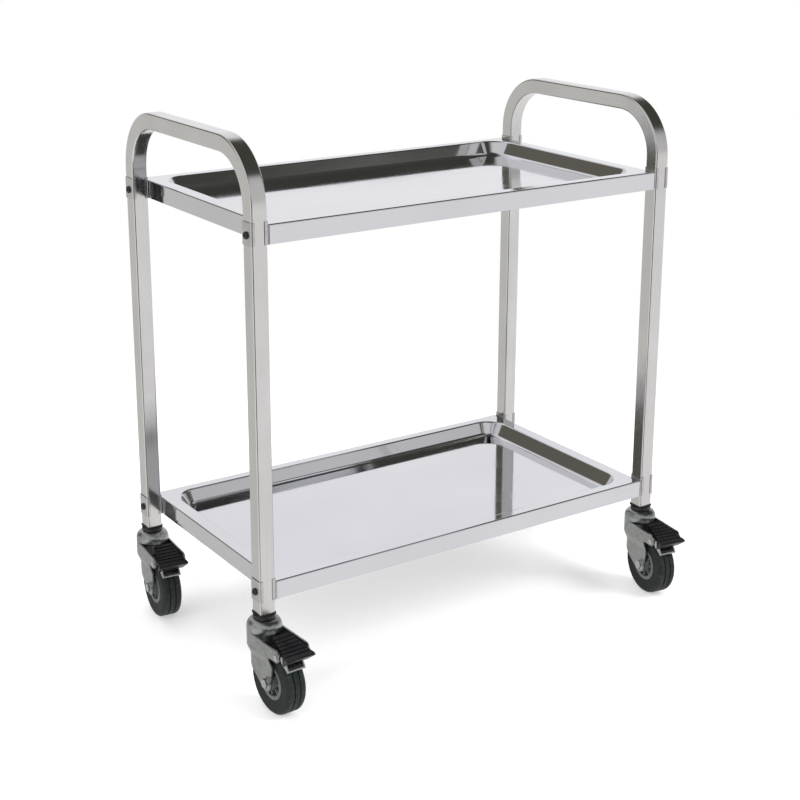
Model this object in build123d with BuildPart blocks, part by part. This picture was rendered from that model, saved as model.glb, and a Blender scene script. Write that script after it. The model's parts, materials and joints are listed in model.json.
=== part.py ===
"""Two-tier service trolley: bent-tube end frames, two pressed trays and four swivel casters with brakes.

Millimetres, +Z up. X runs from end frame to end frame, Y from front (-) to rear (+). The origin is on the
floor, under the middle of the trolley's bounding box. All casters stand trailing towards the front.
"""
from math import cos, radians, sin
import os

from build123d import *

os.makedirs("parts", exist_ok=True)

# ---------------------------------------------------------------- driving dimensions: end frames and trays
cart_length = 750.0        # outside one end frame to outside the other
cart_width = 400.0         # across the legs
lower_shelf_rise = 48.0    # foot of the legs to the rim of the lower tray
shelf_spacing = 522.0      # rim of the lower tray to the rim of the upper tray
handle_rise = 113.0        # rim of the upper tray to the top of the push handles

tube = 25.0                # square tube of the end frames
tube_wall = 1.2
tube_corner = 3.0          # outside corner radius of the tube
handle_bend = 80.0         # bend radius of the tube's centre line

sheet = 1.0                # tray sheet thickness
apron = 28.0               # height of the trays' aprons
edge_bend = 2.5            # outside radius of the bends between rim and aprons
end_rim = 22.0             # flat rim at the tray's ends
side_rim = 19.0            # flat rim along the tray's front and rear
recess_depth = 22.0
recess_run = 13.0          # how far the recess wall leans inwards on its way down
recess_corner = 38.0       # plan radius of the recess corners at the rim
recess_top_bend = 3.5
recess_floor_bend = 8.0
return_lip = 9.0           # hem turned inwards under the aprons

saddle_sheet = 1.2         # clips round the legs at each tray
saddle_wrap = 5.0          # how far a clip reaches round the leg's side faces
saddle_rise = 4.5          # how far a clip stands above the tray's rim

shelf_bolt_r = 3.0         # M6 screws through clip, leg, clip and apron
shelf_thread_end = 5.4     # how far each screw shows past its nut
shelf_head_r = 5.5
shelf_head_height = 3.3
shelf_socket = 4.0         # hexagon socket across flats
shelf_socket_depth = 2.0
shelf_nut_flats = 10.0
shelf_nut_height = 5.0
shelf_washer_r = 6.0
shelf_washer_sheet = 1.2
bolt_clearance = 0.3       # radial, between a screw and the holes it passes

# ---------------------------------------------------------------- driving dimensions: foot of the leg
plug_flange = 2.5          # thickness of the plug's flange under the tube
plug_overhang = 1.5        # how far the flange stands out from the tube's faces
plug_depth = 20.0          # how far the plug reaches up the tube
plug_clearance = 0.1       # each side, in the tube
stem_r = 6.0               # M12 kingpin
stem_nut_flats = 18.0
stem_nut_height = 6.0
stem_head_flats = 18.0
stem_head_height = 7.0
thread_end = 1.5           # how far a thread shows past its nut
thread_clearance = 0.05    # radial, nut on thread

# ---------------------------------------------------------------- driving dimensions: casters
wheel_r = 50.0
tyre_width = 32.0
trail = 37.0               # swivel axis to axle, level
head_over_wheel = 39.5     # top of the wheel to the seat under the plug's flange
# heading of each caster's trail, in degrees from +X about +Z
headings = {"front_left": -87.0, "rear_left": -95.0, "front_right": -98.0, "rear_right": -91.0}

tyre_bore_r = 25.0
tyre_shoulder = 7.0
groove_width = 2.2
groove_depth = 1.6
groove_pitch = 9.5         # between the two tread grooves

hub_inset = 1.5            # rim to the tyre's side, each side
rim_inner_r = 21.5
rim_lip_r = 27.5           # the rim's lips hold the tyre's beads
rim_lip = 1.6              # how far each lip stands out
boss_r = 12.5
web_thickness = 6.0
hub_ribs = 8
rib_thickness = 2.4
sleeve_r = 8.0             # spacer that the hub turns on
hub_side_gap = 0.5         # hub boss to each fork leg
running_clearance = 0.06   # radial, hub on sleeve, fork on kingpin, brake on its pin

fork_sheet = 2.5
crown_r = 26.0             # outside radius of the fork's round head
bearing_height = 6.0       # head's top face to the seat under the plug
dome_depth = 17.5          # head's top face to where the dome turns into the legs
crown_bend = 12.0
wheel_side_gap = 2.0       # tyre's side to the leg beside it
joggle_drop = 7.0          # the legs start to step in this far below the top of the wheel
joggle_height = 14.0
skirt_drop = 25.0          # the legs start to narrow this far below the top of the wheel
leg_ahead = 13.0           # front edge of the leg, ahead of the axle
leg_foot_r = 14.5          # round foot of the leg
leg_foot_behind = 4.0      # its centre, behind the axle
axle_r = 4.0               # M8
axle_flange_r = 8.5
axle_flange = 1.5
axle_hex_flats = 13.0
axle_head_height = 4.5
axle_nut_height = 6.5

ball_r = 2.0
ball_pitch_r = 12.0        # radius of the rows of balls
balls_in_row = 14
ball_seat = 0.6            # depth of the track that a ball sits in
ball_play = 0.1            # between a ball and its track in the fork
race_gap = 0.3             # between a ball and the fixed races
race_r = 16.5
race_sheet = 2.2

pivot_ahead = 33.0         # brake pivot, ahead of the axle
pivot_above = 5.0          # and above the top of the wheel
pivot_r = 2.5
pivot_head_r = 4.5
pivot_head = 1.5
ear_r = 9.0
ear_above = 10.5           # top edge of the fork's ears, above the pivot
brake_travel = 14.0        # degrees that the pedal is trodden down
shoe_gap = 0.3             # left between shoe and tyre with the pedal down
shoe_start, shoe_end = 50.0, 68.0        # degrees above level, about the shoe's centre
shoe_lip = 1.0             # degrees of the shoe's front end that the lever's web closes
lever_sheet = 2.0
lever_half_width = 15.0
lever_behind, lever_ahead = 16.0, 9.5    # reach of the lever each side of the pivot
cheek_behind, cheek_below = 8.0, 6.0     # lower corner of the lever's cheeks, from the pivot
pedal_behind, pedal_ahead = 26.0, 27.0   # reach of the pedal each side of the pivot
pedal_back_half = 14.0     # half widths of the fan-shaped pedal
pedal_tip_half = 24.0
pedal_back_rise = 18.0     # heights of the tread above the pivot
pedal_tip_rise = 4.0
pedal_thickness = 6.0
pedal_block_depth = 16.0   # depth of the wedge under the pedal's front part
nose_drop, nose_depth = 2.0, 4.5         # middle and foot of the pedal's pointed tip
pedal_ribs = 6
rib_groove = 2.4
rib_groove_depth = 1.4
hole_overrun = 1.0         # cutters run this far past the faces they cut

# ---------------------------------------------------------------- derived places
wheel_top = 2 * wheel_r
caster_height = wheel_top + head_over_wheel
leg_foot = caster_height + plug_flange
lower_shelf_height = leg_foot + lower_shelf_rise
upper_shelf_height = lower_shelf_height + shelf_spacing
handle_height = upper_shelf_height + handle_rise
pivot_out, pivot_height = trail + pivot_ahead, wheel_top + pivot_above
pedal_back, pedal_reach = pivot_out - pedal_behind, pivot_out + pedal_ahead
leg_x = (cart_length - tube) / 2
leg_y = (cart_width - tube) / 2
centre_y = (pedal_reach - crown_r) / 2   # the frame's middle plane, behind the middle of the bounding box
inner_leg_x = cart_length / 2 - tube
tray_length = 2 * (inner_leg_x - saddle_sheet)
shelf_heights = {"upper": upper_shelf_height, "lower": lower_shelf_height}
shelf_bolt_drop = apron / 2
shelf_grip = 2 * saddle_sheet + tube + sheet + shelf_washer_sheet + shelf_nut_height
shelf_bolt_length = shelf_grip + shelf_thread_end
bolt_hole_r = shelf_bolt_r + bolt_clearance
leg_places = {
    "front_left": (-leg_x, centre_y - leg_y),
    "rear_left": (-leg_x, centre_y + leg_y),
    "front_right": (leg_x, centre_y - leg_y),
    "rear_right": (leg_x, centre_y + leg_y),
}
bolt_places = [
    (x, y, shelf - shelf_bolt_drop) for x, y in leg_places.values() for shelf in shelf_heights.values()
]


def keep(piece, name):
    """Label a finished sub-part and write it to its own STEP file."""
    piece.label = name
    export_step(piece, f"parts/{name}.step")


def place(piece, locations):
    """Copies of one piece, as separate solids, at each of the locations."""
    with BuildPart() as group:
        with Locations(*locations):
            add(piece)
    return group.part


def facing_out(x):
    """Turn about +Z that points a piece's +X away from the middle of the trolley."""
    return 0 if x > 0 else 180


def hexagon_r(flats):
    return flats / 2 / cos(radians(30))


# ---------------------------------------------------------------- end frames
def end_frame(x):
    """One bent tube: two legs and a push handle, with the tray screws' holes through both walls."""
    front, rear = centre_y - leg_y, centre_y + leg_y
    top = handle_height - tube / 2
    with BuildPart() as frame:
        with BuildLine(Plane(origin=(x, 0, 0), x_dir=(0, 1, 0), z_dir=(1, 0, 0))) as route:
            FilletPolyline((front, leg_foot), (front, top), (rear, top), (rear, leg_foot), radius=handle_bend)
        with BuildSketch(Plane(origin=(x, front, leg_foot), x_dir=(1, 0, 0), z_dir=(0, 0, 1))):
            RectangleRounded(tube, tube, tube_corner)
        sweep(path=route.line)
        with BuildSketch(Plane(origin=(x, front, leg_foot), x_dir=(1, 0, 0), z_dir=(0, 0, 1))):
            bore = tube - 2 * tube_wall
            RectangleRounded(bore, bore, tube_corner - tube_wall)
        sweep(path=route.line, mode=Mode.SUBTRACT)
        for y in (front, rear):
            for shelf in shelf_heights.values():
                with Locations(Location((x, y, shelf - shelf_bolt_drop), (0, 90, 0))):
                    Cylinder(bolt_hole_r, tube + 2 * hole_overrun, mode=Mode.SUBTRACT)
    return frame.part


keep(end_frame(-leg_x), "end_frame_left")
keep(end_frame(leg_x), "end_frame_right")


# ---------------------------------------------------------------- trays
def tray_form(rim_height, inset):
    """Solid form of a tray's outside (inset 0) or of its hollow underside (inset = sheet)."""
    length, width = tray_length - 2 * inset, cart_width - 2 * inset
    top = rim_height - inset
    bend = edge_bend - inset
    recess_length = tray_length - 2 * end_rim + 2 * inset
    recess_width = cart_width - 2 * side_rim + 2 * inset
    centre = Plane.XY.move(Location((0, centre_y, 0)))
    with BuildPart() as form:
        with BuildSketch(centre.offset(top)):
            RectangleRounded(length, width, bend)
        extrude(amount=inset - apron)
        fillet(form.faces().sort_by(Axis.Z)[-1].edges(), bend)
        with BuildSketch(centre.offset(top)):
            RectangleRounded(recess_length, recess_width, recess_corner + inset)
        with BuildSketch(centre.offset(top - recess_depth)):
            RectangleRounded(
                recess_length - 2 * recess_run, recess_width - 2 * recess_run, recess_corner + inset - recess_run
            )
        loft(mode=Mode.SUBTRACT)
        floor_edges = form.faces().filter_by(Plane.XY).filter_by(
            lambda face: abs(face.center().Z - (top - recess_depth)) < sheet / 2
        ).edges()
        fillet(floor_edges, recess_floor_bend + inset)
        mouth = form.faces().filter_by(Plane.XY).sort_by(Axis.Z)[-1].inner_wires()[0]
        fillet(mouth.edges(), recess_top_bend - inset)
    return form.part


def tray(rim_height):
    """Pressed tray: rim, recess, aprons, a hem under the aprons and the holes for the leg screws."""
    foot = rim_height - apron
    centre = Plane.XY.move(Location((0, centre_y, 0)))
    with BuildPart() as pan:
        add(tray_form(rim_height, 0))
        with BuildPart(mode=Mode.PRIVATE) as hollow:
            add(tray_form(rim_height, sheet))
            with BuildSketch(centre.offset(foot)):
                Rectangle(tray_length, cart_width)
                Rectangle(tray_length - 2 * return_lip, cart_width - 2 * return_lip, mode=Mode.SUBTRACT)
            extrude(amount=sheet, mode=Mode.SUBTRACT)
        add(hollow.part, mode=Mode.SUBTRACT)
        for x, y in leg_places.values():
            apron_x = tray_length / 2 if x > 0 else -tray_length / 2
            with Locations(Location((apron_x, y, rim_height - shelf_bolt_drop), (0, 90, 0))):
                Cylinder(bolt_hole_r, 2 * (sheet + hole_overrun), mode=Mode.SUBTRACT)
    return pan.part


for level, height in shelf_heights.items():
    keep(tray(height), f"{level}_tray")


# ---------------------------------------------------------------- clips and screws at the tray joints
def saddle():
    """Clip that grips one face of a leg: its web stands on the YZ plane and its flanges reach towards -X."""
    height = apron + saddle_rise
    corner = tube_corner - saddle_sheet / 2
    with BuildPart() as clip:
        with BuildSketch(Plane.XY.offset(-height / 2)):
            with Locations((-saddle_wrap, 0)):
                RectangleRounded(
                    2 * (saddle_wrap + saddle_sheet), tube + 2 * saddle_sheet, corner + saddle_sheet
                )
                RectangleRounded(2 * saddle_wrap, tube, corner, mode=Mode.SUBTRACT)
            with Locations((-3 * saddle_wrap, 0)):
                Rectangle(4 * saddle_wrap, 2 * tube, mode=Mode.SUBTRACT)
        extrude(amount=height)
        with Locations(Location((0, 0, -saddle_rise / 2), (0, 90, 0))):
            Cylinder(bolt_hole_r, 2 * (saddle_sheet + hole_overrun), mode=Mode.SUBTRACT)
    return clip.part


def shelf_bolt():
    """Button-head screw along X: head outwards (+X) from its seat at x = 0."""
    with BuildPart() as screw:
        with BuildSketch(Plane.YZ):
            Circle(shelf_head_r)
        extrude(amount=shelf_head_height)
        fillet(screw.edges().sort_by(Axis.X)[-1], shelf_head_height * 0.8)
        with BuildSketch(Plane.YZ.offset(shelf_head_height)):
            RegularPolygon(hexagon_r(shelf_socket), 6)
        extrude(amount=-shelf_socket_depth, mode=Mode.SUBTRACT)
        with BuildSketch(Plane.YZ):
            Circle(shelf_bolt_r)
        extrude(amount=-shelf_bolt_length)
        chamfer(screw.edges().sort_by(Axis.X)[0], shelf_bolt_r / 5)
    return screw.part


def hexagon_nut(plane, flats, height, bore_r):
    """Nut that stands on a plane, with its two outer rims chamfered."""
    with BuildPart() as nut:
        with BuildSketch(plane):
            RegularPolygon(hexagon_r(flats), 6)
        extrude(amount=height)
        with BuildSketch(plane):
            Circle(flats / 2 + height * 0.25)
        extrude(amount=height, mode=Mode.INTERSECT)
        with BuildSketch(plane):
            Circle(bore_r)
        extrude(amount=height, mode=Mode.SUBTRACT)
    return nut.part


def washer(plane, outer_r, thickness, bore_r):
    with BuildPart() as ring:
        with BuildSketch(plane):
            Circle(outer_r)
            Circle(bore_r, mode=Mode.SUBTRACT)
        extrude(amount=thickness)
    return ring.part


for level, height in shelf_heights.items():
    clip_z = height - (apron - saddle_rise) / 2
    for side, x, turn in (("outer", cart_length / 2, 0), ("inner", inner_leg_x, 180)):
        seats = [
            Location((x if leg > 0 else -x, y, clip_z), (0, 0, facing_out(leg) + turn))
            for leg, y in leg_places.values()
        ]
        keep(place(saddle(), seats), f"{level}_{side}_clips")


def on_bolts(distance):
    """Places on the axes of the tray screws, at a distance from the trolley's middle, facing out."""
    return [
        Location((distance if x > 0 else -distance, y, z), (0, 0, facing_out(x))) for x, y, z in bolt_places
    ]


washer_seat = tray_length / 2 - sheet
inwards = Plane(origin=(0, 0, 0), x_dir=(0, 1, 0), z_dir=(-1, 0, 0))
keep(place(shelf_bolt(), on_bolts(cart_length / 2 + saddle_sheet)), "shelf_bolts")
keep(
    place(washer(inwards, shelf_washer_r, shelf_washer_sheet, bolt_hole_r), on_bolts(washer_seat)),
    "shelf_washers",
)
keep(
    place(
        hexagon_nut(inwards, shelf_nut_flats, shelf_nut_height, shelf_bolt_r + thread_clearance),
        on_bolts(washer_seat - shelf_washer_sheet),
    ),
    "shelf_nuts",
)


# ---------------------------------------------------------------- foot of each leg
crown_top = caster_height - bearing_height
crown_under = crown_top - fork_sheet
upper_balls = crown_top - ball_seat + ball_play + ball_r
lower_balls = crown_under + ball_seat - ball_play - ball_r
upper_race_under = upper_balls + ball_r + race_gap - ball_seat
lower_race_top = lower_balls - ball_r - race_gap + ball_seat
stem_top = leg_foot + plug_depth + stem_nut_height + thread_end
foot_places = {name: Location((x, y, 0)) for name, (x, y) in leg_places.items()}


def leg_plug():
    """Square plastic insert: a flange under the tube's end and a body inside the tube."""
    body = tube - 2 * tube_wall - 2 * plug_clearance
    flange = tube + 2 * plug_overhang
    with BuildPart() as plug:
        with BuildSketch(Plane.XY.offset(caster_height)):
            RectangleRounded(flange, flange, tube_corner + plug_flange / 2)
        extrude(amount=plug_flange)
        with BuildSketch(Plane.XY.offset(leg_foot)):
            RectangleRounded(body, body, tube_corner - tube_wall)
        extrude(amount=plug_depth)
        with BuildSketch(Plane.XY.offset(caster_height)):
            Circle(stem_r + plug_clearance)
        extrude(amount=plug_flange + plug_depth, mode=Mode.SUBTRACT)
    return plug.part


def caster_stem():
    """Kingpin: hexagon head under the lower race, shank up through the caster's head and the plug."""
    head_top = lower_race_top - race_sheet
    with BuildPart() as stem:
        with BuildSketch(Plane.XY.offset(head_top - stem_head_height)):
            RegularPolygon(hexagon_r(stem_head_flats), 6)
        extrude(amount=stem_head_height)
        with BuildSketch(Plane.XY.offset(head_top)):
            Circle(stem_r)
        extrude(amount=stem_top - head_top)
        chamfer(stem.edges().sort_by(Axis.Z)[-1], stem_r / 6)
    return stem.part


def track(height, play):
    """Ring-shaped cutter for a ball track, as round as a ball with its play."""
    with BuildPart() as ring:
        with BuildSketch(Plane.XZ):
            with Locations((ball_pitch_r, height)):
                Circle(ball_r + play)
        revolve(axis=Axis.Z)
    return ring.part


def upper_race():
    """Fixed race under the plug, with a skirt that hides the upper row of balls."""
    with BuildPart() as race:
        with BuildSketch(Plane.XY.offset(crown_top + race_gap * 2)):
            Circle(race_r)
        extrude(amount=caster_height - crown_top - race_gap * 2)
        fillet(race.edges().sort_by(Axis.Z)[-1], race_sheet / 2)
        with BuildSketch(Plane.XY.offset(crown_top)):
            Circle(race_r - race_sheet / 2)
        extrude(amount=upper_race_under - crown_top, mode=Mode.SUBTRACT)
        add(track(upper_balls, race_gap), mode=Mode.SUBTRACT)
        with BuildSketch(Plane.XY.offset(crown_top)):
            Circle(stem_r + running_clearance)
        extrude(amount=caster_height - crown_top, mode=Mode.SUBTRACT)
    return race.part


def lower_race():
    under = Plane.XY.offset(lower_race_top - race_sheet)
    with BuildPart() as race:
        add(washer(under, race_r, race_sheet, stem_r + running_clearance))
        add(track(lower_balls, race_gap), mode=Mode.SUBTRACT)
    return race.part


every_foot = list(foot_places.values())
stem_nut = hexagon_nut(
    Plane.XY.offset(leg_foot + plug_depth), stem_nut_flats, stem_nut_height, stem_r + thread_clearance
)
keep(place(caster_stem(), every_foot), "caster_stems")
keep(place(stem_nut, every_foot), "stem_nuts")
keep(place(upper_race(), every_foot), "upper_races")
keep(place(lower_race(), every_foot), "lower_races")
for corner, foot in foot_places.items():
    keep(place(leg_plug(), [foot]), f"{corner}_leg_plug")


# ---------------------------------------------------------------- caster fork
# Each caster is made on the swivel axis with its trail along +X, then turned to its heading.
side_view = Plane.XZ
axle_axis = Axis((trail, 0, wheel_r), (0, 1, 0))
axle_section = Plane(origin=(trail, 0, wheel_r), x_dir=(0, 0, 1), z_dir=(1, 0, 0))
leg_inside = tyre_width / 2 + wheel_side_gap
leg_half_width = leg_inside + fork_sheet
crown_skirt = crown_top - dome_depth
joggle_top = wheel_top - joggle_drop
joggle_foot = joggle_top - joggle_height
ear_place = (pivot_out, pivot_height + ear_above - ear_r)


def horseshoe(half_width):
    """Plan of the fork: round at the back, with straight sides that run forwards."""
    Circle(half_width)
    with Locations((pedal_reach / 2, 0)):
        Rectangle(pedal_reach, 2 * half_width)


def fork_form(inset):
    """Solid form of the fork's outside (inset 0) or of its inside (inset = sheet)."""
    head, foot = crown_r - inset, leg_half_width - inset
    with BuildPart() as form:
        with BuildSketch(Plane.XY.offset(crown_skirt)):
            Circle(head)
        extrude(amount=crown_top - inset - crown_skirt)
        fillet(form.edges().sort_by(Axis.Z)[-1], crown_bend - inset)
        with BuildSketch(Plane.XY.offset(joggle_top)):
            horseshoe(head)
        extrude(amount=crown_skirt - joggle_top)
        with BuildSketch(Plane.XY.offset(joggle_top)):
            horseshoe(head)
        with BuildSketch(Plane.XY.offset(joggle_foot)):
            horseshoe(foot)
        loft()
        with BuildSketch(Plane.XY.offset(joggle_foot)):
            horseshoe(foot)
        extrude(amount=-joggle_foot)
    return form.part


def fork():
    """Deep-drawn fork: domed head with ball tracks, two legs to the axle and two ears for the brake."""
    head_r = crown_r + hole_overrun
    dome_foot = crown_skirt - crown_bend
    skirt = wheel_top - skirt_drop
    leg_front = trail + leg_ahead
    ears_back = -head_r - hole_overrun
    with BuildPart() as outline:
        with BuildSketch(side_view) as leg:
            with Locations((trail - leg_foot_behind, wheel_r)):
                Circle(leg_foot_r)
            with Locations(((leg_front - head_r) / 2, (ear_place[1] + skirt) / 2)):
                Rectangle(leg_front + head_r, ear_place[1] - skirt)
            make_hull(leg.edges())
        extrude(amount=2 * crown_r, both=True)
        with BuildSketch(side_view):
            with Locations(ear_place):
                Circle(ear_r)
            with Locations(((pivot_out + ears_back) / 2, ear_place[1])):
                Rectangle(pivot_out - ears_back, 2 * ear_r)
        extrude(amount=2 * crown_r, both=True)
        with BuildSketch(Plane.XY.offset(dome_foot)):
            Circle(head_r)
        extrude(amount=crown_top - dome_foot)
    with BuildPart() as body:
        add(fork_form(0))
        add(fork_form(fork_sheet), mode=Mode.SUBTRACT)
        add(outline.part, mode=Mode.INTERSECT)
        with BuildSketch(Plane.XY.offset(crown_under)):
            Circle(stem_r + running_clearance)
        extrude(amount=fork_sheet, mode=Mode.SUBTRACT)
        add(track(upper_balls, ball_play), mode=Mode.SUBTRACT)
        add(track(lower_balls, ball_play), mode=Mode.SUBTRACT)
        with BuildSketch(side_view):
            with Locations((trail, wheel_r)):
                Circle(axle_r + plug_clearance)
            with Locations((pivot_out, pivot_height)):
                Circle(pivot_r + thread_clearance)
        extrude(amount=2 * crown_r, both=True, mode=Mode.SUBTRACT)
    return body.part


def ball_rows():
    with BuildPart() as rows:
        for height in (upper_balls, lower_balls):
            with Locations((0, 0, height)):
                with PolarLocations(ball_pitch_r, balls_in_row):
                    Sphere(ball_r)
    return rows.part


def across(distance, outwards):
    """Plane square to the axle, at a distance along Y, facing +Y or -Y."""
    return Plane(origin=(trail, distance, wheel_r), x_dir=(1, 0, 0), z_dir=(0, outwards, 0))


def axle_bolt():
    """Flanged hexagon bolt, head on the -Y side."""
    shank = 2 * leg_half_width + axle_flange + axle_nut_height + thread_end
    with BuildPart() as bolt:
        with BuildSketch(across(-leg_half_width, -1)):
            Circle(axle_flange_r)
        extrude(amount=axle_flange)
        with BuildSketch(across(-leg_half_width - axle_flange, -1)):
            RegularPolygon(hexagon_r(axle_hex_flats), 6)
        extrude(amount=axle_head_height)
        with BuildSketch(across(-leg_half_width, 1)):
            Circle(axle_r)
        extrude(amount=shank)
        chamfer(bolt.edges().sort_by(Axis.Y)[-1], axle_r / 6)
    return bolt.part


def axle_nut():
    with BuildPart() as nut:
        add(washer(across(leg_half_width, 1), axle_flange_r, axle_flange, axle_r + thread_clearance))
        add(
            hexagon_nut(
                across(leg_half_width + axle_flange, 1), axle_hex_flats, axle_nut_height, axle_r + thread_clearance
            )
        )
    return nut.part


def axle_sleeve():
    return washer(across(-leg_inside, 1), sleeve_r, 2 * leg_inside, axle_r + plug_clearance)


def brake_pin():
    """Rivet through the fork's two ears."""
    ends = crown_r + pivot_head
    with BuildPart() as pin:
        with BuildSketch(side_view):
            with Locations((pivot_out, pivot_height)):
                Circle(pivot_head_r)
        extrude(amount=ends, both=True)
        with BuildSketch(side_view):
            with Locations((pivot_out, pivot_height)):
                Circle(pivot_head_r)
                Circle(pivot_r, mode=Mode.SUBTRACT)
        extrude(amount=crown_r, both=True, mode=Mode.SUBTRACT)
        fillet(pin.edges().group_by(Axis.Y)[0] + pin.edges().group_by(Axis.Y)[-1], pivot_head / 2)
    return pin.part


# ---------------------------------------------------------------- wheel
def hub():
    """Dished hub: boss on the sleeve, ribbed web, rim with a lip each side of the tyre."""
    boss_half = leg_inside - hub_side_gap
    rim_half = tyre_width / 2 - hub_inset
    half = [
        (sleeve_r + running_clearance, boss_half),
        (boss_r, boss_half),
        (boss_r + hub_side_gap, web_thickness / 2),
        (rim_inner_r, web_thickness / 2),
        (rim_inner_r + hub_side_gap, rim_half),
        (rim_lip_r, rim_half),
        (rim_lip_r, rim_half - rim_lip),
        (tyre_bore_r, rim_half - rim_lip),
    ]
    with BuildPart() as wheel:
        with BuildSketch(axle_section):
            with BuildLine():
                Polyline(*half, *[(r, -s) for r, s in reversed(half)], close=True)
            make_face()
        revolve(axis=axle_axis)
        with BuildSketch(across(0, -1)):
            with PolarLocations((boss_r + rim_inner_r) / 2, hub_ribs):
                Rectangle(rim_inner_r - boss_r + 2 * hub_side_gap, rib_thickness)
        extrude(amount=rim_half - rim_lip, both=True)
    return wheel.part


def tyre():
    """Rubber tyre: beads between the rim's lips, round shoulders and two tread grooves."""
    half = tyre_width / 2
    bead = half - hub_inset - rim_lip - plug_clearance
    neck = rim_lip_r + plug_clearance
    with BuildPart() as ring:
        with BuildSketch(axle_section) as section:
            with BuildLine():
                Polyline(
                    (tyre_bore_r + thread_clearance, -bead),
                    (neck, -bead),
                    (neck, -half + rim_lip),
                    (wheel_r - tyre_shoulder, -half),
                    (wheel_r, -half),
                    (wheel_r, half),
                    (wheel_r - tyre_shoulder, half),
                    (neck, half - rim_lip),
                    (neck, bead),
                    (tyre_bore_r + thread_clearance, bead),
                    close=True,
                )
            make_face()
            fillet(section.vertices().group_by(Axis.X)[-1], tyre_shoulder * 0.9)
            with Locations((wheel_r, -groove_pitch / 2), (wheel_r, groove_pitch / 2)):
                Rectangle(2 * groove_depth, groove_width, mode=Mode.SUBTRACT)
        revolve(axis=axle_axis)
    return ring.part


# ---------------------------------------------------------------- brake
def turned_up(point):
    """A side-view point of the trodden-down brake, turned back up to rest about the pivot."""
    out, up = point[0] - pivot_out, point[1] - pivot_height
    turn = radians(brake_travel)
    return (pivot_out + out * cos(turn) - up * sin(turn), pivot_height + out * sin(turn) + up * cos(turn))


pedal_back_height = pivot_height + pedal_back_rise
pedal_tip_height = pivot_height + pedal_tip_rise
tread_slope = (pedal_tip_height - pedal_back_height) / (pedal_reach - pedal_back)
shoe_centre = turned_up((trail, wheel_r))
shoe_r = wheel_r + shoe_gap
lever_back, lever_front = pivot_out - lever_behind, pivot_out + lever_ahead
block_foot = pedal_tip_height - pedal_block_depth


def under_tread(out):
    """Height of the pedal's underside at a distance from the swivel axis."""
    return pedal_back_height + tread_slope * (out - pedal_back) - pedal_thickness


def on_shoe(radius, angle):
    return (
        shoe_centre[0] + radius * cos(radians(angle)),
        shoe_centre[1] + radius * sin(radians(angle)),
    )


def brake_lever():
    """Pressed steel lever: web under the pedal, two cheeks on the pin and a curved shoe over the tyre."""
    outer = shoe_r + lever_sheet
    with BuildPart() as lever:
        with BuildSketch(side_view):
            with BuildLine():
                Polyline(
                    (lever_back, under_tread(lever_back)),
                    (lever_front, under_tread(lever_front)),
                    (lever_front, block_foot - hole_overrun),
                    on_shoe(outer, shoe_start),
                    on_shoe(shoe_r, shoe_start),
                    on_shoe(shoe_r, shoe_end),
                    (pivot_out - cheek_behind, pivot_height - cheek_below),
                    close=True,
                )
            make_face()
            with Locations(shoe_centre):
                Circle(shoe_r, mode=Mode.SUBTRACT)
        extrude(amount=lever_half_width, both=True)
        with BuildSketch(side_view):
            with BuildLine():
                Polyline(
                    (lever_back - lever_sheet, under_tread(lever_back - lever_sheet) - lever_sheet),
                    (lever_front + lever_sheet, under_tread(lever_front + lever_sheet) - lever_sheet),
                    (lever_front + lever_sheet, block_foot - hole_overrun),
                    on_shoe(outer, shoe_start + shoe_lip),
                    on_shoe(outer, shoe_end),
                    (pivot_out - cheek_behind - lever_sheet, pivot_height - cheek_below - lever_sheet),
                    close=True,
                )
            make_face()
            with Locations(shoe_centre):
                Circle(outer, mode=Mode.SUBTRACT)
        extrude(amount=lever_half_width - lever_sheet, both=True, mode=Mode.SUBTRACT)
        with BuildSketch(side_view):
            with Locations((pivot_out, pivot_height)):
                Circle(pivot_r + running_clearance)
        extrude(amount=lever_half_width, both=True, mode=Mode.SUBTRACT)
    return lever.part


def brake_pedal():
    """Fan-shaped foot pedal with cross ribs, thick in front of the fork's ears and thin over them."""
    nose = pedal_reach - pedal_thickness / 3
    block_back = lever_front + hole_overrun / 2
    with BuildPart() as pedal:
        with BuildSketch(side_view) as section:
            with BuildLine():
                Polyline(
                    (pedal_back, pedal_back_height),
                    (nose, pedal_tip_height),
                    (pedal_reach, pedal_tip_height - nose_drop),
                    (nose, pedal_tip_height - nose_depth),
                    (block_back, block_foot),
                    (block_back, under_tread(block_back)),
                    (pedal_back, under_tread(pedal_back)),
                    close=True,
                )
            make_face()
        extrude(amount=pedal_tip_half, both=True)
        with BuildSketch(Plane.XY):
            with BuildLine():
                Polyline(
                    (pedal_back, -pedal_back_half),
                    (pedal_reach, -pedal_tip_half),
                    (pedal_reach, pedal_tip_half),
                    (pedal_back, pedal_back_half),
                    close=True,
                )
            make_face()
        extrude(amount=pedal_back_height, mode=Mode.INTERSECT)
        pitch = (nose - pedal_back) / (pedal_ribs + 1)
        with BuildSketch(side_view):
            for rib in range(1, pedal_ribs + 1):
                out = pedal_back + rib * pitch
                with Locations(Location((out, pedal_back_height + tread_slope * (out - pedal_back)))):
                    Rectangle(rib_groove, 2 * rib_groove_depth)
        extrude(amount=pedal_tip_half, both=True, mode=Mode.SUBTRACT)
    return pedal.part


caster_pieces = {
    "fork": fork(),
    "swivel_balls": ball_rows(),
    "axle_bolt": axle_bolt(),
    "axle_nut": axle_nut(),
    "axle_sleeve": axle_sleeve(),
    "brake_pin": brake_pin(),
    "hub": hub(),
    "tyre": tyre(),
    "brake_lever": brake_lever(),
    "brake_pedal": brake_pedal(),
}
for corner, (x, y) in leg_places.items():
    seat = Location((x, y, 0), (0, 0, headings[corner]))
    for name, piece in caster_pieces.items():
        keep(place(piece, [seat]), f"{corner}_{name}")
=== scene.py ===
"""Looks for the two-tier trolley: steel, zinc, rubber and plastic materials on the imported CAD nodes."""
import json
import math

import bpy
from mathutils import Matrix, Vector


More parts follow.
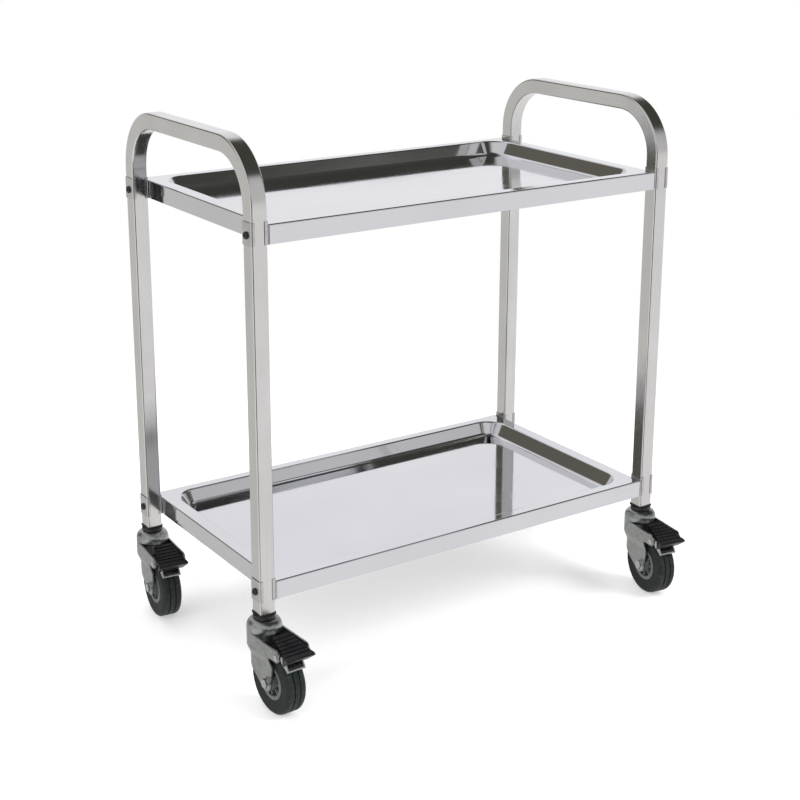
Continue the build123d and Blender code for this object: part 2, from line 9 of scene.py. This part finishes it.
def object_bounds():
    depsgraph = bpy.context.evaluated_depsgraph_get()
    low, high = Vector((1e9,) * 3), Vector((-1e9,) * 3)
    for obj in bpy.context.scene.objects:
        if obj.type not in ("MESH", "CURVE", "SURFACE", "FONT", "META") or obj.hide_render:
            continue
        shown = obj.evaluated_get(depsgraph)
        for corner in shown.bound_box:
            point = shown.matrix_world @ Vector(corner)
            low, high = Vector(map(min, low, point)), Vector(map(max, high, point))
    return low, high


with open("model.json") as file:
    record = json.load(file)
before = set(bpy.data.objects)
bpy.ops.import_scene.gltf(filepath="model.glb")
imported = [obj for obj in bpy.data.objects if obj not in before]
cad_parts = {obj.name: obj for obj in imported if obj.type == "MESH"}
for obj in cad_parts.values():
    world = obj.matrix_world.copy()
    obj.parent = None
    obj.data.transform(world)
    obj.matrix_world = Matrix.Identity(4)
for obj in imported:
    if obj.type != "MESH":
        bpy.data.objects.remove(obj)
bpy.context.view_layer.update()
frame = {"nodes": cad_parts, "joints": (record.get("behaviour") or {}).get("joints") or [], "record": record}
scene = bpy.context.scene
nodes = frame["nodes"]
corners = ("front_left", "rear_left", "front_right", "rear_right")
joints = {joint["name"]: joint for joint in frame["joints"]}


# ---------------------------------------------------------------- node building
def put_in(tree, socket, value):
    """Links the value to the socket if it is a socket itself, else types it in."""
    if hasattr(value, "is_linked"):
        tree.links.new(value, socket)
    else:
        socket.default_value = value


def add_node(tree, kind, inputs=None, **settings):
    node = tree.nodes.new(kind)
    for key, value in settings.items():
        setattr(node, key, value)
    for socket, value in (inputs or {}).items():
        put_in(tree, node.inputs[socket], value)
    return node


def fill_ramp(node, stops):
    """Gives a colour ramp its stops, each (position, (red, green, blue))."""
    elements = node.color_ramp.elements
    while len(elements) < len(stops):
        elements.new(0.5)
    for element, (at, colour) in zip(elements, stops):
        element.position = at
        element.color = (*colour, 1.0)
    return node.outputs["Color"]


class Nodes:
    """A material's node tree, with one short call per kind of node."""

    def __init__(self, name):
        self.material = bpy.data.materials.new(name)
        self.material.use_nodes = True
        self.tree = self.material.node_tree
        self.shader = self.tree.nodes["Principled BSDF"]
        self.place = self.tree.nodes.new("ShaderNodeTexCoord").outputs["Object"]

    def new(self, kind, inputs=None, **settings):
        return add_node(self.tree, kind, inputs, **settings)

    def stretched(self, scale):
        return self.new("ShaderNodeMapping", {"Vector": self.place, "Scale": scale}).outputs["Vector"]

    def noise(self, scale, detail=4.0, rough=0.55):
        """Noise from 0 to 1. scale is in features a metre, one number or one for each axis."""
        place = self.place
        if not isinstance(scale, (int, float)):
            place, scale = self.stretched(scale), 1.0
        return self.new("ShaderNodeTexNoise", {
            "Vector": place, "Scale": scale, "Detail": detail, "Roughness": rough,
        }).outputs["Fac"]

    def fit(self, value, low, high, to_low, to_high):
        """The value with low to high stretched to to_low to to_high, and held at the ends."""
        return self.new("ShaderNodeMapRange", {
            "Value": value, "From Min": low, "From Max": high, "To Min": to_low, "To Max": to_high,
        }).outputs["Result"]

    def ramp(self, value, stops):
        return fill_ramp(self.new("ShaderNodeValToRGB", {"Fac": value}), stops)

    def math(self, operation, a, b=0.0):
        return self.new("ShaderNodeMath", {0: a, 1: b}, operation=operation).outputs[0]

    def mixed(self, a, part, b):
        """A part of a and the rest, up to 1, of b."""
        rest = round(1.0 - part, 6)
        return self.math("ADD", self.math("MULTIPLY", a, part), self.math("MULTIPLY", b, rest))

    def blend(self, share, a, b):
        return self.new("ShaderNodeMix", {0: share, 2: a, 3: b}, data_type="FLOAT").outputs[0]

    def bump(self, height, strength, distance, normal=None):
        """A bump of the height given. normal is an earlier bump that this one lies on."""
        inputs = {"Height": height, "Strength": strength, "Distance": distance}
        if normal:
            inputs["Normal"] = normal
        return self.new("ShaderNodeBump", inputs).outputs[0]

    def finish(self, **inputs):
        """Fills the shader's inputs, named with _ for a space, and returns the material."""
        for key, value in inputs.items():
            put_in(self.tree, self.shader.inputs[key.replace("_", " ")], value)
        return self.material


def grey(value, warm=0.0):
    """A grey, slightly red of neutral if warm is over 0."""
    return (value + warm, value, value - warm)


# ---------------------------------------------------------------- materials
def tube_steel():
    """Satin tube: fine lines along the legs that turn to run along the push handle."""
    n = Nodes("tube_steel")
    fine, lengthwise = 900, 7
    bend_low, bend_high = 0.745, 0.795
    up = n.noise((fine, fine, lengthwise), 3)
    across = n.noise((fine, lengthwise, fine), 3)
    height = n.new("ShaderNodeSeparateXYZ", {0: n.place}).outputs["Z"]
    line = n.blend(n.fit(height, bend_low, bend_high, 0.0, 1.0), up, across)
    cloud = n.noise(9, 3)
    smudge = n.fit(n.noise(30, 5, 0.65), 0.52, 0.72, 0.0, 0.07)
    rough = n.math("ADD", n.fit(line, 0.3, 0.7, 0.12, 0.22), smudge)
    colour = n.ramp(n.mixed(line, 0.4, cloud), [(0.25, (0.61, 0.595, 0.58)), (0.75, (0.75, 0.742, 0.735))])
    return n.finish(Base_Color=colour, Roughness=rough, Metallic=1.0, Normal=n.bump(line, 0.05, 0.0003))


def tray_steel():
    """Bright rolled sheet: a near mirror, slightly bowed, with faint grain, wipe marks and fine scratches."""
    n = Nodes("tray_steel")
    grain = n.noise((5, 1100, 1100), 3)
    wipes = n.noise((5, 22, 22), 4, 0.6)
    cloud = n.noise(3.5, 2)
    scratch = n.fit(n.noise((26, 620, 620), 2), 0.70, 0.76, 0.0, 1.0)
    rough = n.math("ADD", n.fit(wipes, 0.45, 0.75, 0.045, 0.13), n.math("MULTIPLY", scratch, 0.10))
    rough = n.math("ADD", rough, n.fit(grain, 0.3, 0.7, 0.0, 0.03))
    colour = n.ramp(n.mixed(cloud, 0.7, grain), [(0.25, (0.66, 0.66, 0.685)), (0.75, (0.76, 0.76, 0.785))])
    bow = n.bump(n.noise((2.4, 3.2, 3.2), 1), 0.35, 0.004)
    return n.finish(Base_Color=colour, Roughness=rough, Metallic=1.0,
                    Normal=n.bump(grain, 0.03, 0.0002, bow))


def clip_steel():
    """Pressed saddle clips: short upright lines on a cloudy surface."""
    n = Nodes("clip_steel")
    line = n.noise((700, 700, 20), 3)
    cloud = n.noise(60, 3)
    colour = n.ramp(cloud, [(0.3, grey(0.50, 0.01)), (0.7, grey(0.62, 0.01))])
    return n.finish(Base_Color=colour, Roughness=n.fit(line, 0.3, 0.7, 0.2, 0.34), Metallic=1.0,
                    Normal=n.bump(line, 0.06, 0.0003))


def zinc(name, low, high, rough, green=0.012):
    """Zinc plate: crystals a few millimetres across under larger clouds, with a slightly green tone."""
    n = Nodes(name)
    crystal = n.new("ShaderNodeTexVoronoi", {"Vector": n.place, "Scale": 260.0}).outputs["Color"]
    tone = n.new("ShaderNodeSeparateColor", {0: crystal}).outputs[0]
    cloud = n.noise(45, 5, 0.6)
    mixed = n.mixed(tone, 0.25, cloud)
    colour = n.ramp(mixed, [(0.25, (low - green, low, low - green / 2)),
                            (0.75, (high - green, high, high - green / 2))])
    return n.finish(Base_Color=colour, Roughness=n.fit(mixed, 0.25, 0.75, rough, rough + 0.14), Metallic=1.0,
                    Normal=n.bump(n.noise(420, 3), 0.12, 0.0003))


def dark_steel():
    """Blackened screws, and the caster collars under the leg feet, which are zinc but take this near-black as
    painted shade; a little metal shows through.
    """
    n = Nodes("dark_steel")
    cloud = n.noise(300, 4)
    # near-black colour: real black oxide on the screws, painted shade on the zinc caster collars
    colour = n.ramp(cloud, [(0.3, grey(0.018)), (0.7, grey(0.05))])
    return n.finish(Base_Color=colour, Roughness=n.fit(cloud, 0.3, 0.7, 0.3, 0.5), Metallic=0.6,
                    Normal=n.bump(n.noise(900, 2), 0.1, 0.0002))


def plastic(name, low, high, grain, depth, shine):
    """Moulded plastic: spark-eroded grain, slight flow marks and rubbed, shinier patches."""
    rough = 0.34
    n = Nodes(name)
    cloud = n.noise(38, 4)
    leather = n.noise(grain, 2, 0.5)
    colour = n.ramp(cloud, [(0.3, low), (0.7, high)])
    rub = n.fit(n.noise(90, 4), 0.5, 0.75, 0.0, -0.14)
    skin = n.math("ADD", n.fit(leather, 0.3, 0.7, rough, rough + 0.1), rub)
    return n.finish(Base_Color=colour, Roughness=skin, Specular_IOR_Level=shine,
                    Normal=n.bump(leather, 0.25, depth))


def grey_rubber(corner):
    """Tyre rubber: dust in the tread, scuffs round the shoulders and a fine matt skin."""
    n = Nodes(f"{corner}_grey_rubber")
    shoulder, tread_face = 0.0465, 0.0505      # radii between which dust starts to gather
    axle = Vector(joints[f"{corner}_roll"]["pos_m"])
    offset = n.new("ShaderNodeVectorMath", {0: n.place, 1: tuple(axle)}, operation="SUBTRACT").outputs[0]
    radius = n.new("ShaderNodeVectorMath", {0: offset}, operation="LENGTH").outputs["Value"]
    tread = n.fit(radius, shoulder, tread_face, 0.0, 1.0)
    scuff = n.noise(160, 6, 0.7)
    dust = n.math("MULTIPLY", tread, n.fit(scuff, 0.4, 0.7, 0.0, 1.0))
    colour = n.ramp(n.mixed(scuff, 0.5, dust), [(0.2, (0.009, 0.013, 0.011)), (0.55, (0.017, 0.023, 0.020)),
                                                (0.9, (0.050, 0.058, 0.053))])
    return n.finish(Base_Color=colour, Roughness=n.fit(scuff, 0.3, 0.7, 0.5, 0.72), Specular_IOR_Level=0.3,
                    Normal=n.bump(n.noise(1400, 3), 0.3, 0.0003))


made = {
    "tube_steel": tube_steel(),
    "tray_steel": tray_steel(),
    "clip_steel": clip_steel(),
    "zinc_steel": zinc("zinc_steel", 0.50, 0.68, 0.22),
    "fork_zinc": zinc("fork_zinc", 0.30, 0.47, 0.24, 0.014),
    "dark_steel": dark_steel(),
    "black_plastic": plastic("black_plastic", (0.004, 0.004, 0.005), (0.011, 0.011, 0.012),
                             grain=1500, depth=0.0003, shine=0.3),
    "grey_plastic": plastic("grey_plastic", (0.075, 0.085, 0.080), (0.13, 0.142, 0.135),
                            grain=1300, depth=0.0002, shine=0.4),
}
for entry in frame["record"]["subparts"]:
    node, slot = entry["node"], entry["material_slot"]
    corner = next((c for c in corners if node.startswith(c)), None)
    material = grey_rubber(corner) if slot == "grey_rubber" else made[slot]
    data = nodes[node].data
    data.materials.clear()
    data.materials.append(material)


# ---------------------------------------------------------------- floor
half = 9.0                        # of the square floor's side
gap = 0.0004                      # between the tyres and the floor
shade_ends, white_starts = 0.8, 1.7
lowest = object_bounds()[0][2]
floor_mesh = bpy.data.meshes.new("floor")
floor_mesh.from_pydata([(-half, -half, 0), (half, -half, 0), (half, half, 0), (-half, half, 0)], [],
                       [(0, 1, 2, 3)])
floor = bpy.data.objects.new("floor", floor_mesh)
scene.collection.objects.link(floor)
floor.location.z = lowest - gap
paper = Nodes("floor_paper")
reach = paper.new("ShaderNodeVectorMath", {0: paper.place}, operation="LENGTH").outputs["Value"]
far = paper.fit(reach, shade_ends, white_starts, 0.0, 1.0)
# near the cart it takes a soft shadow, and further out it glows as white as the background
floor_mesh.materials.append(paper.finish(
    Base_Color=paper.ramp(far, [(0.0, grey(0.62)), (1.0, grey(0.0))]),
    Roughness=0.9, Specular_IOR_Level=0.0,
    Emission_Color=(1.0, 1.0, 1.0, 1.0), Emission_Strength=paper.fit(far, 0.0, 1.0, 0.42, 1.0)))
floor.visible_glossy = False      # the steel mirrors the studio's own gradient


# ---------------------------------------------------------------- studio
world = bpy.data.worlds.new("studio")
scene.world = world
world.use_nodes = True
tree = world.node_tree
tree.nodes.clear()


def studio(kind, inputs=None, **settings):
    return add_node(tree, kind, inputs, **settings)


def towards(azimuth, elevation):
    """Cosine of the angle between a ray and a place in the studio. Azimuth is in degrees from +X about +Z."""
    a, e = math.radians(azimuth), math.radians(elevation)
    aim = (math.cos(a) * math.cos(e), math.sin(a) * math.cos(e), math.sin(e))
    dot = studio("ShaderNodeVectorMath", {0: direction, 1: aim}, operation="DOT_PRODUCT")
    return dot.outputs["Value"]


def mix(share, a, b):
    return studio("ShaderNodeMix", {0: share, 6: a, 7: b}, data_type="RGBA").outputs[2]


def share_of(value, start, end):
    """0 up to start and 1 from end, with a smooth rise between."""
    return studio("ShaderNodeMapRange", {"Value": value, "From Min": start, "From Max": end},
                  interpolation_type="SMOOTHSTEP").outputs["Result"]


direction = studio("ShaderNodeTexCoord").outputs["Generated"]
rise = studio("ShaderNodeSeparateXYZ", {0: direction}).outputs["Z"]
height01 = studio("ShaderNodeMapRange", {"Value": rise, "From Min": -1.0, "From Max": 1.0}).outputs["Result"]
above_floor = share_of(rise, 0.0, 0.12)
# from straight down (0) to straight up (1): white floor, pale walls, pale ceiling
levels = [(0.0, 0.97), (0.46, 0.88), (0.51, 0.66), (0.60, 0.66), (0.80, 0.72), (1.0, 0.75)]
shown = fill_ramp(studio("ShaderNodeValToRGB", {"Fac": height01}),
                  [(at, (level * 0.995, level * 0.99, level)) for at, level in levels])
dark_ceiling = (0.060, 0.062, 0.052)
# patches laid over it in this order: where, cosines at which each starts and is full, colour, and whether
# it is kept off the floor
for azimuth, elevation, edge, core, colour, kept_up in (
        (60, 10, 0.55, 0.88, (0.95, 0.95, 0.975), False),           # white sweep behind the cart
        (118, -18, 0.62, 0.86, (0.66, 0.655, 0.64), False),         # shaded wall at the left
        (-20, 60, 0.60, 0.80, dark_ceiling, True),
        (-52, 42, 0.86, 0.93, dark_ceiling, True),
        (-56, 22, 0.935, 0.980, (0.62, 0.62, 0.63), True),          # soft strip of light under the dark
        (125, 20, 0.90, 0.965, (0.135, 0.128, 0.105), True),        # dark corner at the back left
        (-112, -8, 0.90, 0.97, (0.030, 0.030, 0.030), False)):      # dark stand beside the camera
    share = share_of(towards(azimuth, elevation), edge, core)
    if kept_up:
        share = studio("ShaderNodeMath", {0: share, 1: above_floor}, operation="MULTIPLY").outputs[0]
    shown = mix(share, shown, (*colour, 1.0))
# the camera sees plain white, and everything else sees the studio
seen = studio("ShaderNodeBackground", {"Color": (1.0, 1.0, 1.0, 1.0), "Strength": 1.0})
mirrored = studio("ShaderNodeBackground", {"Color": shown, "Strength": 1.0})
camera_ray = studio("ShaderNodeLightPath").outputs["Is Camera Ray"]
both = studio("ShaderNodeMixShader", {0: camera_ray, 1: mirrored.outputs[0], 2: seen.outputs[0]})
studio("ShaderNodeOutputWorld", {"Surface": both.outputs[0]})


def softbox(name, spot, size, watts):
    """A square lamp turned to the cart, left out of what the steel mirrors."""
    cart_middle = Vector((0, 0, 0.4))
    data = bpy.data.lights.new(name, "AREA")
    data.shape = "SQUARE"
    data.size = size
    data.energy = watts
    lamp = bpy.data.objects.new(name, data)
    scene.collection.objects.link(lamp)
    lamp.location = spot
    lamp.visible_glossy = False
    lamp.rotation_euler = (cart_middle - Vector(spot)).to_track_quat("-Z", "Y").to_euler()


softbox("key", (2.4, -3.0, 3.2), 2.2, 190)
softbox("fill", (-3.4, -1.4, 2.6), 2.6, 70)
softbox("top", (0.2, 0.6, 4.2), 3.0, 150)

scene.view_settings.view_transform = "Standard"
scene.view_settings.look = "None"


# ---------------------------------------------------------------- camera
# fitted to the photograph's straight edges, with the proportions and the scale already found
camera_spot = (-1.3444, -1.9646, 1.1666)
yaw, pitch, roll = math.radians(33.87), math.radians(15.99), math.radians(0.14)
focal_pixels, picture_pixels = 1565.0, 800.0
sensor_mm = 36.0
shift_up = -0.1
ahead = Vector((math.sin(yaw) * math.cos(pitch), math.cos(yaw) * math.cos(pitch), -math.sin(pitch)))
right = Vector((math.cos(yaw), -math.sin(yaw), 0.0))
above = right.cross(ahead)
right, above = (math.cos(roll) * right + math.sin(roll) * above,
                -math.sin(roll) * right + math.cos(roll) * above)
camera_data = bpy.data.cameras.new("camera")
camera_data.sensor_width = sensor_mm
camera_data.lens = focal_pixels * sensor_mm / picture_pixels
camera_data.shift_y = shift_up
camera = bpy.data.objects.new("camera", camera_data)
scene.collection.objects.link(camera)
turn = Matrix((right, above, -ahead)).transposed().to_4x4()
camera.matrix_world = Matrix.Translation(camera_spot) @ turn
scene.camera = camera
